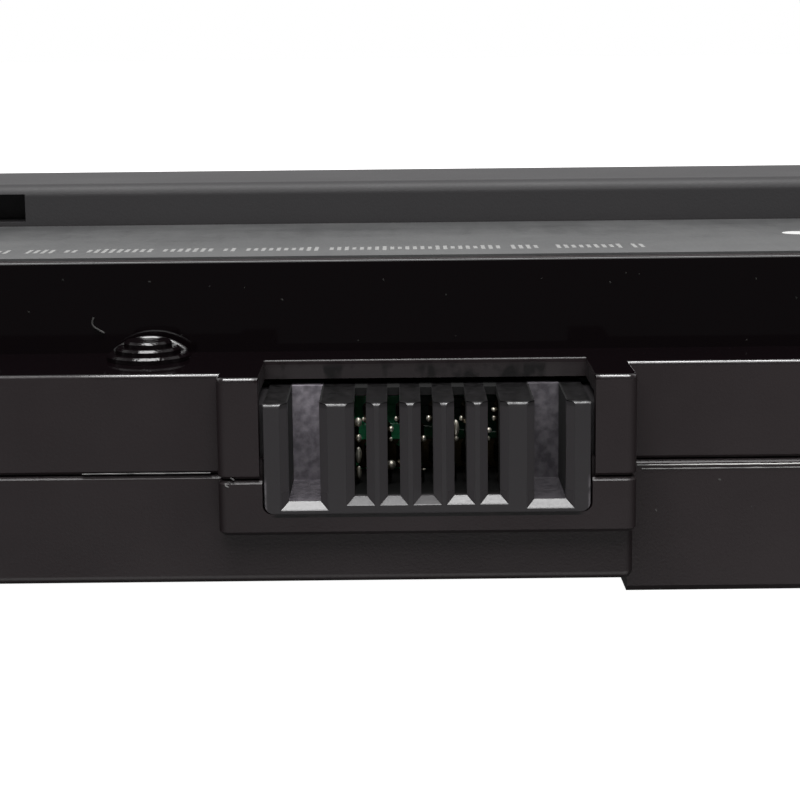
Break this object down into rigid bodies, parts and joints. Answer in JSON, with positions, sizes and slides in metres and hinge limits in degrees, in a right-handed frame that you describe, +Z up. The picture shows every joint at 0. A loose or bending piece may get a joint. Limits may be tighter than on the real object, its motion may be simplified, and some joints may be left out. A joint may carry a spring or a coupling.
{
  "type": "laptop battery",
  "caption": "Slim rechargeable battery pack for a laptop, with a stepped front edge, a slotted connector, a label face and a raised rear band.",
  "frame": {"origin": "middle of the pack's underside, at the height of the surface that it lies on", "axes": "+X along the pack, +Y from the connector edge to the raised rear band, +Z up on the label side"},
  "size_m": [0.2046, 0.0496, 0.0238],
  "materials": {
    "case_plastic": "fine matte grain, glossy black on the wall and the ledge",
    "label_film": "satin printed film",
    "connector_plastic": "moulded, slightly glossy",
    "contact_gold": "thin gold plating",
    "board_laminate": "green solder resist",
    "chip_resin": "moulded resin",
    "chip_ceramic": "fired, with tinned ends",
    "resistor_black": "glazed, with tinned ends",
    "cell_sleeve": "shrunk film over a steel can",
    "nickel": "rolled strip",
    "fuse_body": "moulded",
    "bead_resin": "dipped resin",
    "shield_card": "thin insulating card",
    "pad_foam": "closed cell foam"
  },
  "bodies": {
    "root": {"board_shield": "shield_card", "bottom_case": "case_plastic", "cell_1": "cell_sleeve", "cell_2": "cell_sleeve", "cell_3": "cell_sleeve", "cell_4": "cell_sleeve", "cell_5": "cell_sleeve", "cell_6": "cell_sleeve", "charge_transistor": "chip_resin", "chemical_fuse": "chip_ceramic", "chip_capacitors": "chip_ceramic", "chip_resistors": "resistor_black", "circuit_board": "board_laminate", "connector_housing": "connector_plastic", "contact_clock": "contact_gold", "contact_data": "contact_gold", "contact_negative": "contact_gold", "contact_positive": "contact_gold", "contact_sense": "contact_gold", "discharge_transistor": "chip_resin", "end_pad_left": "pad_foam", "end_pad_right": "pad_foam", "gauge_chip": "chip_resin", "lead_high": "nickel", "lead_negative": "nickel", "lead_positive": "nickel", "protection_chip": "chip_resin", "rating_label": "label_film", "sense_resistor": "resistor_black", "strap_high": "nickel", "strap_low": "nickel", "strap_negative": "nickel", "strap_positive": "nickel", "thermal_fuse": "fuse_body", "thermistor": "bead_resin", "top_cover": "case_plastic"}
  },
  "joints": []
}
